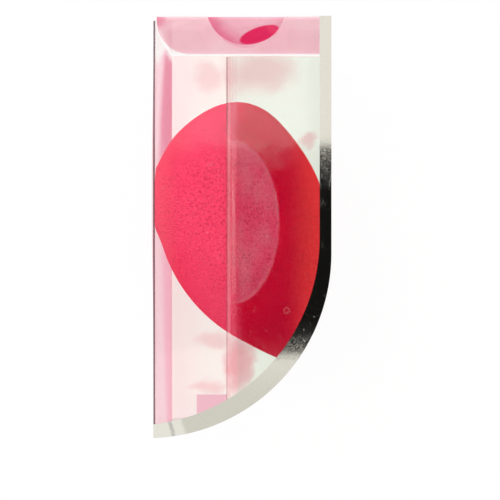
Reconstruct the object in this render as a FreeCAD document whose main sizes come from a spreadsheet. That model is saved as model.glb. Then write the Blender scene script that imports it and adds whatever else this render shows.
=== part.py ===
import FreeCAD, Part
import math
import os
import Sketcher

# Makeup sponge in its clear, D-sided folding case.
# The case lies on its lower side wall: X runs from the back wall to the front wall,
# Y from the curved bottom to the lid, Z from the lower side wall to the upper one.
# The origin is under the middle of the whole case, on the surface that it lies on.

doc = FreeCAD.newDocument("makeup_sponge_case")
Vector = FreeCAD.Vector

# Driving sizes, in millimetres and degrees
SIZES = {
    # Case
    "case_width": 42.2,            # side wall, from the back crease to the front edge
    "case_depth": 40.0,            # outside, from the lower face to the foil's face
    "front_straight": 56.3,        # front edge, from the top to where the curve starts
    "front_curve_radius": 43.8,
    "film_thickness": 0.4,
    "back_bow": 2.0,               # how far the sponge bows the back wall outwards
    "back_bow_from_top": 42.0,     # middle of the stretch that is bowed that far
    "back_bow_length": 24.0,
    "back_end_bow": 0.2,           # what is left of it at the wall's top and bottom
    "glue_thickness": 0.1,
    # Foil border on the upper side wall
    "foil_thickness": 0.1,
    "foil_front_width": 2.8,       # along the straight front edge
    "foil_end_width": 3.3,         # where the border ends at the back crease
    "foil_inner_radius": 44.5,
    # Thumb notch in the upper side wall's top edge
    "notch_width": 18.4,
    "notch_depth": 7.0,
    "notch_offset": 0.9,           # from the middle of the wall, towards the front
    # Lap behind the upper side wall and its line of glue
    "lap_width": 24.9,
    "lap_top_gap": 1.0,            # below the tuck flap
    "glue_line_inset": 1.2,        # from the lap's free edge
    "glue_line_width": 1.2,
    "glue_line_length": 66.0,
    # Creases and flaps
    "crease_radius": 0.4,
    "crease_gap": 0.3,             # between a crease and the edge or wall beside it
    "lid_edge_gap": 0.5,           # between the lid's free edge and the tuck flap's crease
    "tuck_height": 8.6,            # from the top of the case to the flap's lower edge
    "tuck_back_corner_radius": 7.6,
    "tuck_front_corner_radius": 2.5,
    "tuck_lean_angle": 6.0,
    "dust_flap_length": 10.0,
    "dust_flap_margin": 9.5,       # from the case's outer faces to the flap's sides
    "dust_flap_corner_radius": 3.0,
    # Sponge
    "sponge_diameter": 43.0,
    "sponge_widest_from_end": 29.9,
    "sponge_flank_radius": 40.0,
    "sponge_tip_radius": 3.0,
    "sponge_tilt_angle": 16.0,
    "sponge_from_back": 20.5,      # middle of the widest place, from the back crease
    "sponge_from_top": 47.2,       # middle of the widest place, from the top of the case
    "sponge_gap": 0.3,             # to each wall that squeezes it flat
    # How far every cutting shape reaches past what it cuts
    "overrun": 5.0,
}

# Places worked out from the driving sizes
PLACES = {
    "front_x": "(Sizes.case_width + Sizes.back_bow) / 2",
    "back_x": "front_x - Sizes.case_width",
    "case_height": "Sizes.front_straight + Sizes.front_curve_radius",
    "top_y": "case_height / 2",
    "bottom_y": "-case_height / 2",
    "curve_x": "front_x - Sizes.front_curve_radius",
    "curve_y": "top_y - Sizes.front_straight",
    "half_depth": "Sizes.case_depth / 2",
    "bow_y": "top_y - Sizes.back_bow_from_top",
    # Layers from the lower face upwards
    "upper_wall_z": "Sizes.case_depth - Sizes.foil_thickness - Sizes.film_thickness",
    "foil_z": "Sizes.case_depth - Sizes.foil_thickness",
    "glue_z": "upper_wall_z - Sizes.glue_thickness",
    "lap_z": "glue_z - Sizes.film_thickness",
    "inner_depth": "upper_wall_z - Sizes.film_thickness",
    # Lid and tuck flap creases, along X
    "lid_crease_y": "top_y - Sizes.crease_radius",
    "lid_crease_z": "Sizes.crease_radius",
    "tuck_crease_z": "upper_wall_z - Sizes.crease_gap - Sizes.crease_radius",
    "lower_wall_top_y": "lid_crease_y - Sizes.crease_radius - Sizes.crease_gap",
    # Dust flap creases, along Z, below the lid
    "dust_crease_y": "lid_crease_y - Sizes.film_thickness / 2 - Sizes.crease_gap - Sizes.crease_radius",
    "dust_back_x": "back_x + Sizes.crease_radius",
    "dust_front_x": "front_x - Sizes.crease_radius",
    "dust_width": "Sizes.case_depth - 2 * Sizes.dust_flap_margin",
    "dust_window_y": "dust_crease_y - Sizes.crease_radius - Sizes.crease_gap",
    "dust_window_width": "dust_width + 2 * Sizes.crease_gap",
    "end_wall_top_y": "lower_wall_top_y",
    # Lap
    "lap_x": "front_x - Sizes.lap_width",
    "lap_top_y": "top_y - Sizes.tuck_height - Sizes.lap_top_gap",
    # Foil's inner edge: a straight line and a curve tangent to it
    "foil_edge_x": "front_x - Sizes.foil_front_width",
    "foil_curve_x": "foil_edge_x - Sizes.foil_inner_radius",
    "foil_curve_y": "bottom_y + Sizes.foil_end_width"
                    " + sqrt(Sizes.foil_inner_radius ^ 2 - (back_x - foil_curve_x) ^ 2)",
    # Notch as a piece of a circle
    "notch_radius": "((Sizes.notch_width / 2) ^ 2 + Sizes.notch_depth ^ 2) / (2 * Sizes.notch_depth)",
    "notch_x": "(front_x + back_x) / 2 + Sizes.notch_offset",
    "notch_y": "top_y - Sizes.notch_depth + notch_radius",
    # Sponge's blunt end, from the middle of its widest place
    "sponge_turn": "Sizes.sponge_tilt_angle - 90",
    "sponge_end_x": "back_x + Sizes.sponge_from_back"
                    " - Sizes.sponge_widest_from_end * cos(sponge_turn)",
    "sponge_end_y": "top_y - Sizes.sponge_from_top"
                    " - Sizes.sponge_widest_from_end * sin(sponge_turn)",
}


def fill_sheet(name, cells):
    sheet = doc.addObject("Spreadsheet::Sheet", name)
    for row, (alias, content) in enumerate(cells.items(), start=1):
        sheet.set(f"A{row}", alias)
        sheet.set(f"B{row}", content)
        sheet.setAlias(f"B{row}", alias)
    return sheet


sizes = fill_sheet("Sizes", {alias: str(number) for alias, number in SIZES.items()})
places = fill_sheet("Places", {alias: "=" + formula for alias, formula in PLACES.items()})
doc.recompute()

# Names for the rules of a sketch
Rule = Sketcher.Constraint
X_AXIS = -1
START, END, CENTRE = 1, 2, 3

# Directions of a round bar, as turns of a cylinder that stands along Z
ALONG_X = FreeCAD.Rotation(Vector(0, 1, 0), 90)
ALONG_Y = FreeCAD.Rotation(Vector(1, 0, 0), -90)
ALONG_Z = FreeCAD.Rotation()


def place(thing, where):
    for axis, formula in zip("xyz", where):
        thing.setExpression("Placement.Base." + axis, formula)
    return thing


def box(name, low, size):
    block = doc.addObject("Part::Box", name)
    for side, formula in zip(("Length", "Width", "Height"), size):
        block.setExpression(side, formula)
    return place(block, low)


def bar(name, radius, length, start, direction=ALONG_Z):
    cylinder = doc.addObject("Part::Cylinder", name)
    cylinder.Placement.Rotation = direction
    cylinder.setExpression("Radius", radius)
    cylinder.setExpression("Height", length)
    return place(cylinder, start)


def fuse(name, *pieces):
    whole = doc.addObject("Part::MultiFuse", name)
    whole.Shapes = pieces
    whole.Refine = True
    return whole


def common(name, *pieces):
    shared = doc.addObject("Part::MultiCommon", name)
    shared.Shapes = pieces
    return shared


def cut(name, base, tool):
    rest = doc.addObject("Part::Cut", name)
    rest.Base = base
    rest.Tool = tool
    return rest


def bind_rules(sketch, rules):
    for rule, formula in rules:
        number = sketch.addConstraint(rule)
        sketch.setExpression(f"Constraints[{number}]", formula)


def side_slab(name, back, top, low_z, height, inset="0"):
    """A slab with the case's D outline, from back to the front edge, drawn in by inset.

    Its foot is the flat stretch behind the curve, which shows only where the curve is tighter
    than the case is wide.
    """
    front = f"Places.front_x - ({inset})"
    width = f"{front} - ({back})"
    low_y = "Places.bottom_y - Sizes.overrun"
    frame = box(name + "_frame", (back, low_y, low_z), (width, f"{top} - ({low_y})", height))
    upper = box(name + "_upper", (back, "Places.curve_y", low_z),
                (width, f"{top} - Places.curve_y", height))
    round_end = bar(name + "_round", f"Sizes.front_curve_radius - ({inset})", height,
                    ("Places.curve_x", "Places.curve_y", low_z))
    foot_back = f"min({back}; Places.curve_x) - Sizes.overrun"
    foot_y = f"Places.bottom_y + ({inset})"
    foot = box(name + "_foot", (foot_back, foot_y, low_z),
               (f"Places.curve_x - ({foot_back})", f"Places.curve_y - ({foot_y})", height))
    return common(name, frame, fuse(name + "_outline", upper, round_end, foot))


def bow_radius(bow):
    return f"((Places.half_depth ^ 2 + {bow} ^ 2) / (2 * {bow}))"


def bow_centre_x(bow):
    return f"Places.back_x - {bow} + {bow_radius(bow)}"


def bow_bar(name, bow, inset):
    """A round bar along Y that follows the inside of a bowed back wall."""
    return bar(name, f"{bow_radius(bow)} - ({inset})", "Places.case_height + 2 * Sizes.overrun",
               (bow_centre_x(bow), "Places.bottom_y - Sizes.overrun", "Places.half_depth"), ALONG_Y)


def origin_plane(body, role):
    return [feature for feature in body.Origin.OriginFeatures if feature.Role == role][0]


def lower_side_wall():
    return side_slab("lower_side_wall", "Places.back_x", "Places.lower_wall_top_y",
                     "0", "Sizes.film_thickness")


def upper_side_wall():
    sheet = side_slab("upper_sheet", "Places.back_x", "Places.top_y",
                      "Places.upper_wall_z", "Sizes.film_thickness")
    notch = bar("thumb_notch", "Places.notch_radius", "Sizes.film_thickness + 2 * Sizes.overrun",
                ("Places.notch_x", "Places.notch_y", "Places.upper_wall_z - Sizes.overrun"))
    return cut("upper_side_wall", sheet, notch)


def foil_border():
    sheet = side_slab("foil_sheet", "Places.back_x", "Places.top_y",
                      "Places.foil_z", "Sizes.foil_thickness")
    low_z = "Places.foil_z - Sizes.overrun"
    height = "Sizes.foil_thickness + 2 * Sizes.overrun"
    upper = box("foil_window_upper", ("Places.back_x - Sizes.overrun", "Places.foil_curve_y", low_z),
                ("Sizes.overrun + Sizes.case_width - Sizes.foil_front_width",
                 "Places.top_y + Sizes.overrun - Places.foil_curve_y", height))
    lower = bar("foil_window_lower", "Sizes.foil_inner_radius", height,
                ("Places.foil_curve_x", "Places.foil_curve_y", low_z))
    return cut("foil_border", sheet, fuse("foil_window", upper, lower))


def back_section(body, name, height, bow_name):
    """The back wall's outline at one height: two arcs about one centre, joined at the side walls."""
    bow = getattr(sizes, bow_name)
    low_z = sizes.film_thickness
    high_z = places.upper_wall_z
    middle_z = places.half_depth
    outer_radius = (middle_z ** 2 + bow ** 2) / (2 * bow)
    middle = Vector(places.back_x - bow + outer_radius, middle_z)

    sketch = body.newObject("Sketcher::SketchObject", name)
    sketch.AttachmentSupport = [(origin_plane(body, "XZ_Plane"), "")]
    sketch.MapMode = "FlatFace"
    sketch.setExpression("AttachmentOffset.Base.z", f"-({height})")
    arcs = []
    for radius in (outer_radius, outer_radius - sizes.film_thickness):
        circle = Part.Circle(middle, Vector(0, 0, 1), radius)
        upper_turn = math.pi - math.asin((high_z - middle_z) / radius)
        lower_turn = math.pi + math.asin((middle_z - low_z) / radius)
        arcs.append(sketch.addGeometry(Part.ArcOfCircle(circle, upper_turn, lower_turn), False))
    outer, inner = (sketch.Geometry[arc] for arc in arcs)
    upper_edge = sketch.addGeometry(Part.LineSegment(outer.StartPoint, inner.StartPoint), False)
    lower_edge = sketch.addGeometry(Part.LineSegment(outer.EndPoint, inner.EndPoint), False)

    outer_arc, inner_arc = arcs
    sketch.addConstraint([
        Rule("Coincident", upper_edge, START, outer_arc, START),
        Rule("Coincident", upper_edge, END, inner_arc, START),
        Rule("Coincident", lower_edge, START, outer_arc, END),
        Rule("Coincident", lower_edge, END, inner_arc, END),
        Rule("Coincident", outer_arc, CENTRE, inner_arc, CENTRE),
        Rule("Horizontal", upper_edge),
        Rule("Horizontal", lower_edge),
    ])
    bow_size = "Sizes." + bow_name
    bind_rules(sketch, (
        (Rule("DistanceY", X_AXIS, START, outer_arc, END, low_z), "Sizes.film_thickness"),
        (Rule("DistanceY", X_AXIS, START, outer_arc, START, high_z), "Places.upper_wall_z"),
        (Rule("DistanceX", X_AXIS, START, outer_arc, CENTRE, middle.x), bow_centre_x(bow_size)),
        (Rule("DistanceY", X_AXIS, START, outer_arc, CENTRE, middle_z), "Places.half_depth"),
        (Rule("Radius", outer_arc, outer_radius), bow_radius(bow_size)),
        (Rule("Radius", inner_arc, outer_radius - low_z), f"{bow_radius(bow_size)} - Sizes.film_thickness"),
    ))
    return sketch


def dust_window(name):
    """The room for the dust flaps' creases in the top edges of both end walls."""
    back = "Places.back_x - Sizes.back_bow - Sizes.overrun"
    return box(name, (back, "Places.dust_window_y", "Places.half_depth - Places.dust_window_width / 2"),
               (f"Places.front_x + Sizes.overrun - ({back})", "Sizes.overrun", "Places.dust_window_width"))


def back_wall():
    """Almost straight at its top and bottom creases, and bowed where the sponge presses on it."""
    body = doc.addObject("PartDesign::Body", "back_body")
    sections = [
        back_section(body, "back_bottom", "Places.bottom_y", "back_end_bow"),
        back_section(body, "back_lower_bow", "Places.bow_y - Sizes.back_bow_length / 2", "back_bow"),
        back_section(body, "back_upper_bow", "Places.bow_y + Sizes.back_bow_length / 2", "back_bow"),
        back_section(body, "back_top", "Places.end_wall_top_y", "back_end_bow"),
    ]
    sheet = body.newObject("PartDesign::AdditiveLoft", "back_sheet")
    sheet.Profile = sections[0]
    sheet.Sections = sections[1:]
    return cut("back_wall", body, dust_window("back_window"))


def front_wall():
    back = "Places.back_x - Sizes.back_bow - Sizes.overrun"
    outside = side_slab("front_outside", back, "Places.end_wall_top_y",
                        "Sizes.film_thickness", "Places.inner_depth")
    inside = side_slab("front_inside", back + " - Sizes.overrun",
                       "(Places.end_wall_top_y + Sizes.overrun)", "0", "Sizes.case_depth",
                       "Sizes.film_thickness")
    sheet = cut("front_sheet", outside, inside)
    end_at_back_wall = bow_bar("front_end", "Sizes.back_end_bow",
                               "Sizes.film_thickness + Sizes.glue_thickness")
    whole = common("front_whole", sheet, end_at_back_wall)
    return cut("front_wall", whole, dust_window("front_window"))


def inner_side_lap():
    return side_slab("inner_side_lap", "Places.lap_x", "Places.lap_top_y", "Places.lap_z",
                     "Sizes.film_thickness", "Sizes.film_thickness + Sizes.glue_thickness")


def lap_glue_line():
    return box("lap_glue_line",
               ("Places.lap_x + Sizes.glue_line_inset", "Places.lap_top_y - Sizes.glue_line_length",
                "Places.glue_z"),
               ("Sizes.glue_line_width", "Sizes.glue_line_length", "Sizes.glue_thickness"))


def lid_panel():
    width = "Sizes.case_width - 2 * Sizes.crease_gap"
    low_x = "Places.back_x + Sizes.crease_gap"
    sheet = box("lid_sheet",
                (low_x, "Places.lid_crease_y - Sizes.film_thickness / 2", "Places.lid_crease_z"),
                (width, "Sizes.film_thickness",
                 "Places.tuck_crease_z - Sizes.crease_radius - Sizes.lid_edge_gap - Places.lid_crease_z"))
    crease = bar("lid_crease", "Sizes.crease_radius", width,
                 (low_x, "Places.lid_crease_y", "Places.lid_crease_z"), ALONG_X)
    return fuse("lid_panel", sheet, crease)


def rounded_flap(name, width, length, low_corner, high_corner):
    """A flap that hangs down -Y from a crease along X at the origin, with two round corners."""
    thickness = "Sizes.film_thickness"
    low_x = f"-({width}) / 2"
    low_z = f"-{thickness} / 2"
    frame = box(name + "_frame", (low_x, f"-({length})", low_z), (width, length, thickness))
    low_middle_x = f"{low_x} + {low_corner}"
    high_middle_x = f"({width}) / 2 - {high_corner}"
    middle = box(name + "_middle", (low_middle_x, f"-({length})", low_z),
                 (f"{width} - {low_corner} - {high_corner}", length, thickness))
    pieces = [middle]
    for side, corner, side_x, corner_x in (("low", low_corner, low_x, low_middle_x),
                                           ("high", high_corner, high_middle_x, high_middle_x)):
        corner_y = f"{corner} - ({length})"
        pieces.append(box(f"{name}_{side}_side", (side_x, corner_y, low_z),
                          (corner, f"{length} - {corner}", thickness)))
        pieces.append(bar(f"{name}_{side}_corner", corner, thickness, (corner_x, corner_y, low_z)))
    outline = fuse(name + "_outline", *pieces)
    crease = bar(name + "_crease", "Sizes.crease_radius", width, (low_x, "0", "0"), ALONG_X)
    return fuse(name, common(name + "_sheet", frame, outline), crease)


def tuck_flap():
    flap = rounded_flap("tuck_flap",
                        "(Sizes.case_width - 2 * Sizes.film_thickness - 2 * Sizes.crease_gap)",
                        "Sizes.tuck_height - Sizes.crease_radius",
                        "Sizes.tuck_back_corner_radius", "Sizes.tuck_front_corner_radius")
    flap.Placement.Rotation = FreeCAD.Rotation(Vector(1, 0, 0), sizes.tuck_lean_angle)
    flap.setExpression("Placement.Rotation.Angle", "Sizes.tuck_lean_angle")
    return place(flap, ("(Places.front_x + Places.back_x) / 2", "Places.lid_crease_y",
                        "Places.tuck_crease_z"))


def dust_flap(name, crease_x, towards_crease):
    """A small flap under the lid that reaches inwards from the top of an end wall."""
    corner = "Sizes.dust_flap_corner_radius"
    flap = rounded_flap(name, "Places.dust_width", "Sizes.dust_flap_length", corner, corner)
    along_crease = Vector(0, 0, 1)
    flap.Placement.Rotation = FreeCAD.Rotation(along_crease, towards_crease,
                                               along_crease.cross(towards_crease), "XYZ")
    return place(flap, (crease_x, "Places.dust_crease_y", "Places.half_depth"))


def sponge_profile(body):
    """Half of the sponge's outline: blunt end, long flank and tip as three tangent arcs over X."""
    widest = sizes.sponge_widest_from_end
    flank = sizes.sponge_flank_radius
    tip = sizes.sponge_tip_radius
    drop = flank - sizes.sponge_diameter / 2
    blunt = (flank ** 2 - drop ** 2 - widest ** 2) / (2 * (flank - widest))
    tip_x = widest + math.sqrt((flank - tip) ** 2 - drop ** 2)
    blunt_turn = math.atan2(drop, blunt - widest)
    tip_turn = math.atan2(drop, tip_x - widest)
    up = Vector(0, 0, 1)

    sketch = body.newObject("Sketcher::SketchObject", "sponge_outline")
    sketch.AttachmentSupport = [(origin_plane(body, "XY_Plane"), "")]
    sketch.MapMode = "FlatFace"
    axis = sketch.addGeometry(Part.LineSegment(Vector(), Vector(tip_x + tip, 0)), False)
    end_arc = sketch.addGeometry(
        Part.ArcOfCircle(Part.Circle(Vector(blunt, 0), up, blunt), blunt_turn, math.pi), False)
    flank_arc = sketch.addGeometry(
        Part.ArcOfCircle(Part.Circle(Vector(widest, -drop), up, flank), tip_turn, blunt_turn), False)
    tip_arc = sketch.addGeometry(
        Part.ArcOfCircle(Part.Circle(Vector(tip_x, 0), up, tip), 0, tip_turn), False)

    sketch.addConstraint([
        Rule("Coincident", axis, START, X_AXIS, START),
        Rule("PointOnObject", axis, END, X_AXIS),
        Rule("Coincident", end_arc, END, axis, START),
        Rule("PointOnObject", end_arc, CENTRE, X_AXIS),
        Rule("Tangent", end_arc, START, flank_arc, END),
        Rule("Tangent", flank_arc, START, tip_arc, END),
        Rule("Coincident", tip_arc, START, axis, END),
        Rule("PointOnObject", tip_arc, CENTRE, X_AXIS),
    ])
    bind_rules(sketch, (
        (Rule("DistanceX", X_AXIS, START, flank_arc, CENTRE, widest), "Sizes.sponge_widest_from_end"),
        (Rule("DistanceY", flank_arc, CENTRE, X_AXIS, START, drop),
         "Sizes.sponge_flank_radius - Sizes.sponge_diameter / 2"),
        (Rule("Radius", flank_arc, flank), "Sizes.sponge_flank_radius"),
        (Rule("Radius", tip_arc, tip), "Sizes.sponge_tip_radius"),
    ))
    return sketch


def sponge():
    """The egg of foam, pressed flat where the case's walls squeeze it."""
    body = doc.addObject("PartDesign::Body", "foam_egg")
    sketch = sponge_profile(body)
    egg = body.newObject("PartDesign::Revolution", "foam_turn")
    egg.Profile = sketch
    egg.ReferenceAxis = (sketch, ["H_Axis"])
    egg.Angle = 360
    body.Placement.Rotation = FreeCAD.Rotation(Vector(0, 0, 1), places.sponge_turn)
    body.setExpression("Placement.Rotation.Angle", "Places.sponge_turn")
    place(body, ("Places.sponge_end_x", "Places.sponge_end_y", "Places.half_depth"))
    low_z = "(Sizes.film_thickness + Sizes.sponge_gap)"
    room = side_slab("sponge_room", "Places.back_x - Sizes.back_bow", "Places.top_y", low_z,
                     f"Places.lap_z - Sizes.sponge_gap - {low_z}",
                     "Sizes.film_thickness + Sizes.sponge_gap")
    back_limit = bow_bar("sponge_back_limit", "Sizes.back_bow",
                         "Sizes.film_thickness + Sizes.sponge_gap")
    return common("sponge", body, room, back_limit)


parts = [
    lower_side_wall(),
    upper_side_wall(),
    foil_border(),
    back_wall(),
    front_wall(),
    inner_side_lap(),
    lap_glue_line(),
    lid_panel(),
    tuck_flap(),
    dust_flap("back_dust_flap", "Places.dust_back_x", Vector(-1, 0, 0)),
    dust_flap("front_dust_flap", "Places.dust_front_x", Vector(1, 0, 0)),
    sponge(),
]
doc.recompute()

# Nothing is written unless every object and every piece came out whole
for thing in doc.Objects:
    if "Invalid" in thing.State or "Error" in thing.State:
        raise RuntimeError(f"{thing.Label} did not build: {thing.State}")
for part in parts:
    if part.Shape.isNull() or not part.Shape.isValid() or len(part.Shape.Solids) != 1:
        raise RuntimeError(f"{part.Label} is not one sound solid")

os.makedirs("parts", exist_ok=True)
for part in parts:
    part.Label = part.Name
    part.Shape.exportStep(f"parts/{part.Label}.step")
    print(part.Label, round(part.Shape.Volume, 1), "mm3", part.Shape.optimalBoundingBox())
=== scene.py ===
# %% [markdown]
# # A makeup sponge in its clear folding case
#
# The object is an egg of crimson foam in a D-sided case. The case is folded from clear and pink plastic
# sheet and has a border of mirror foil on one side wall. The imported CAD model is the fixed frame: it gives
# every sheet its size and place. This lesson adds the foam, the finishes, the light and the camera.
# All places in the code are in metres, in the frame of the CAD model, and finishes are written in
# millimetres.

import bpy
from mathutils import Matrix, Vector


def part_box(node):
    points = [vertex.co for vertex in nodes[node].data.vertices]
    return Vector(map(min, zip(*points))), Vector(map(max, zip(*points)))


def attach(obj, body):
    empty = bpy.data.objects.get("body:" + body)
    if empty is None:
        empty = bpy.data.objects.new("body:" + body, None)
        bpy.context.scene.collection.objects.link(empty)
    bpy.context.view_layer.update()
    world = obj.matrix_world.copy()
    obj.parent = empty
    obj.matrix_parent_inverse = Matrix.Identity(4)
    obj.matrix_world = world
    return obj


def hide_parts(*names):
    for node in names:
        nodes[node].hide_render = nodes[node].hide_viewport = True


MM = 0.001

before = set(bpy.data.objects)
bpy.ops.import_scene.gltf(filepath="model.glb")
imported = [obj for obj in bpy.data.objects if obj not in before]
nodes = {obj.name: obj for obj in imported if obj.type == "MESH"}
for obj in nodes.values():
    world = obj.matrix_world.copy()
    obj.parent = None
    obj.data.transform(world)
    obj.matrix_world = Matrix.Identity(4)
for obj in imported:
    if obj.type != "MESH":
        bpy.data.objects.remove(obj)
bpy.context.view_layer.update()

# %% [markdown]
# ## Tools for the finishes
#
# A finish is a tree of shader nodes. Small helpers keep the trees short: the first adds a node and fills or
# links its sockets, and the others make sums, soft ramps, mixed colours and simple patterns. Patterns are
# placed in millimetres from the frame's origin, which works because every piece sits at the origin with its
# place in its mesh.

# %% Helpers that add shader nodes
# Sockets of the Mix node that take and give colours
MIX_FIRST = 6
MIX_SECOND = 7
MIX_RESULT = 2


def add_node(tree, kind, sockets=None, **settings):
    """Adds a shader node, sets its settings, and links or fills its input sockets."""
    made = tree.nodes.new("ShaderNode" + kind)
    for setting, value in settings.items():
        setattr(made, setting, value)
    for socket, value in (sockets or {}).items():
        if isinstance(value, bpy.types.NodeSocket):
            tree.links.new(value, made.inputs[socket])
        else:
            made.inputs[socket].default_value = value
    return made


def sums(tree, operation, *values):
    """The result of a Math node."""
    return add_node(tree, "Math", dict(enumerate(values)), operation=operation).outputs[0]


def ramp(tree, value, start, end, low=0.0, high=1.0):
    """Goes softly from low to high as value goes from start to end."""
    sockets = {"Value": value, "From Min": start, "From Max": end, "To Min": low, "To Max": high}
    return add_node(tree, "MapRange", sockets, interpolation_type="SMOOTHSTEP").outputs["Result"]


def within(tree, value, low, high, soft):
    """1 where value is from low to high, with soft ends."""
    rising = ramp(tree, value, low - soft, low)
    falling = ramp(tree, value, high, high + soft, 1.0, 0.0)
    return sums(tree, "MULTIPLY", rising, falling)


def mix_colours(tree, share, first, second):
    """A colour between first and second."""
    mixer = add_node(tree, "Mix", {"Factor": share}, data_type="RGBA")
    for socket, colour in ((mixer.inputs[MIX_FIRST], first), (mixer.inputs[MIX_SECOND], second)):
        if isinstance(colour, bpy.types.NodeSocket):
            tree.links.new(colour, socket)
        else:
            socket.default_value = (*colour, 1.0)
    return mixer.outputs[MIX_RESULT]


def start_finish(name):
    """A new material with an empty tree, and the place of a surface point in millimetres."""
    material = bpy.data.materials.new(name)
    material.use_nodes = True
    tree = material.node_tree
    tree.nodes.clear()
    place = add_node(tree, "TexCoord").outputs["Object"]
    place_mm = add_node(tree, "VectorMath", {0: place, "Scale": 1 / MM}, operation="SCALE").outputs[0]
    return material, tree, place_mm


def end_finish(tree, shader):
    """Makes a shader the surface of the tree's material."""
    output = add_node(tree, "OutputMaterial")
    tree.links.new(shader.outputs[0], output.inputs["Surface"])


# %% Helpers that make patterns
CLOUD_EDGES = (0.3, 0.7)


def split(tree, place_mm):
    """The x, y and z of a place."""
    return add_node(tree, "SeparateXYZ", {0: place_mm}).outputs


def noise(tree, place_mm, size, stretch=(1.0, 1.0, 1.0), detail=2.0):
    """Soft noise from 0 to 1 with blots of about that size in millimetres."""
    scaled = add_node(tree, "VectorMath", {0: place_mm, 1: stretch}, operation="MULTIPLY").outputs[0]
    sockets = {"Vector": scaled, "Scale": 1 / size, "Detail": detail}
    return add_node(tree, "TexNoise", sockets).outputs["Fac"]


def clouds(tree, place_mm, size, low=0.0, high=1.0, edges=CLOUD_EDGES, **shape):
    """Noise with more contrast: low and high blots, and soft edges between them."""
    return ramp(tree, noise(tree, place_mm, size, **shape), *edges, low, high)


def oval(tree, xyz, centre, half_sizes, soft_from, soft_to, turn=0.0):
    """1 inside an upright or turned oval on a side wall, 0 outside it."""
    across = sums(tree, "SUBTRACT", xyz[0], centre[0])
    along = sums(tree, "SUBTRACT", xyz[1], centre[1])
    flat = add_node(tree, "CombineXYZ", {0: across, 1: along}).outputs[0]
    sockets = {"Vector": flat, "Angle": -turn}
    turned = add_node(tree, "VectorRotate", sockets, rotation_type="Z_AXIS").outputs[0]
    shares = (1 / half_sizes[0], 1 / half_sizes[1], 0.0)
    scaled = add_node(tree, "VectorMath", {0: turned, 1: shares}, operation="MULTIPLY").outputs[0]
    distance = add_node(tree, "VectorMath", {0: scaled}, operation="LENGTH").outputs["Value"]
    return ramp(tree, distance, soft_from, soft_to, 1.0, 0.0)


# %% [markdown]
# ## Clear and pink sheet
#
# Thin plastic sheet shows three things: what is behind it, a mirror image of the room that grows towards
# grazing views, and a little haze from dust, rubbing and cut edges. A glass shader would bend every ray
# twice for a sheet of 0.4 mm and keep the lamps off the sponge. A see-through shader mixed with haze and
# gloss gives the same look, lets light in, and each of a sheet's two faces has its own share of it.

# %% The shader that all the sheets share
HEAD_ON_GLOSS = 0.02
GRAZING_POWER = 5.0
EVEN_BLEND = 0.5
HAZE_ROUGHNESS = 0.6


def finish_sheet(tree, tint, haze, haze_colour, gloss_roughness, normal=None, shine=1.0):
    """See-through sheet: tint colours what is behind it, haze is the share that scatters light."""
    def colour(value):
        return value if isinstance(value, bpy.types.NodeSocket) else (*value, 1.0)

    wavy = {"Normal": normal} if normal else {}
    clear = add_node(tree, "BsdfTransparent", {"Color": colour(tint)})
    scatter = add_node(tree, "BsdfPrincipled", {
        "Base Color": colour(haze_colour), "Roughness": HAZE_ROUGHNESS, "Specular IOR Level": 0.0})
    gloss = add_node(tree, "BsdfAnisotropic", {"Roughness": gloss_roughness, **wavy})
    body = add_node(tree, "MixShader", {0: haze, 1: clear.outputs[0], 2: scatter.outputs[0]})
    facing = add_node(tree, "LayerWeight", {"Blend": EVEN_BLEND}).outputs["Facing"]
    grazing = sums(tree, "POWER", facing, GRAZING_POWER)
    share = sums(tree, "MULTIPLY_ADD", grazing, (1 - HEAD_ON_GLOSS) * shine, HEAD_ON_GLOSS * shine)
    end_finish(tree, add_node(tree, "MixShader", {0: share, 1: body.outputs[0], 2: gloss.outputs[0]}))


def dress(node_name, material):
    """Gives a CAD node its finish."""
    mesh = nodes[node_name].data
    mesh.materials.clear()
    mesh.materials.append(material)
    print(node_name, "wears", material.name)


# %% Scratches, dust and waviness of rubbed sheet
SCRATCH_STRETCH = 0.12
BREAK_SIZE = 3.0
BREAK_EDGES = (0.56, 0.66)
SCRATCH_HAZE = 0.05


def scratches(tree, place_mm, spacing, turn, thickness):
    """Thin broken lines, about spacing apart, that run in one direction."""
    mapping = add_node(tree, "Mapping", {"Vector": place_mm, "Rotation": (0.0, 0.0, turn),
                                         "Scale": (1 / spacing, SCRATCH_STRETCH / spacing, 0.0)})
    cells = add_node(tree, "TexVoronoi", {"Vector": mapping.outputs[0], "Scale": 1.0},
                     feature="DISTANCE_TO_EDGE").outputs["Distance"]
    lines = ramp(tree, cells, 0.0, thickness / spacing, 1.0, 0.0)
    breaks = clouds(tree, place_mm, BREAK_SIZE, edges=BREAK_EDGES)
    return sums(tree, "MULTIPLY", lines, breaks)


def dust(tree, place_mm, spacing, radius):
    """Small round specks, about spacing apart, of up to the given radius."""
    cells = add_node(tree, "TexVoronoi", {"Vector": place_mm, "Scale": 1 / spacing})
    largest = radius / spacing
    soft_edge = largest / 3
    varied = sums(tree, "MULTIPLY", split(tree, cells.outputs["Color"])[0], largest)
    return ramp(tree, sums(tree, "SUBTRACT", varied, cells.outputs["Distance"]), 0.0, soft_edge)


def waviness(tree, place_mm, size, strength):
    """A bump that makes mirror images in the sheet waver."""
    height = noise(tree, place_mm, size)
    sockets = {"Height": height, "Strength": strength, "Distance": MM}
    return add_node(tree, "Bump", sockets).outputs[0]


# %% [markdown]
# ## The near side wall
#
# This wall faces the camera. Left of the lap's edge it is rubbed and lies on the foam, so it has a faint
# rosy bloom, which grows towards the back wall. Its die-cut edges, along the top and round the thumb notch,
# are frosted and catch light, and a few scratches and specks of dust lie on it.

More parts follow.
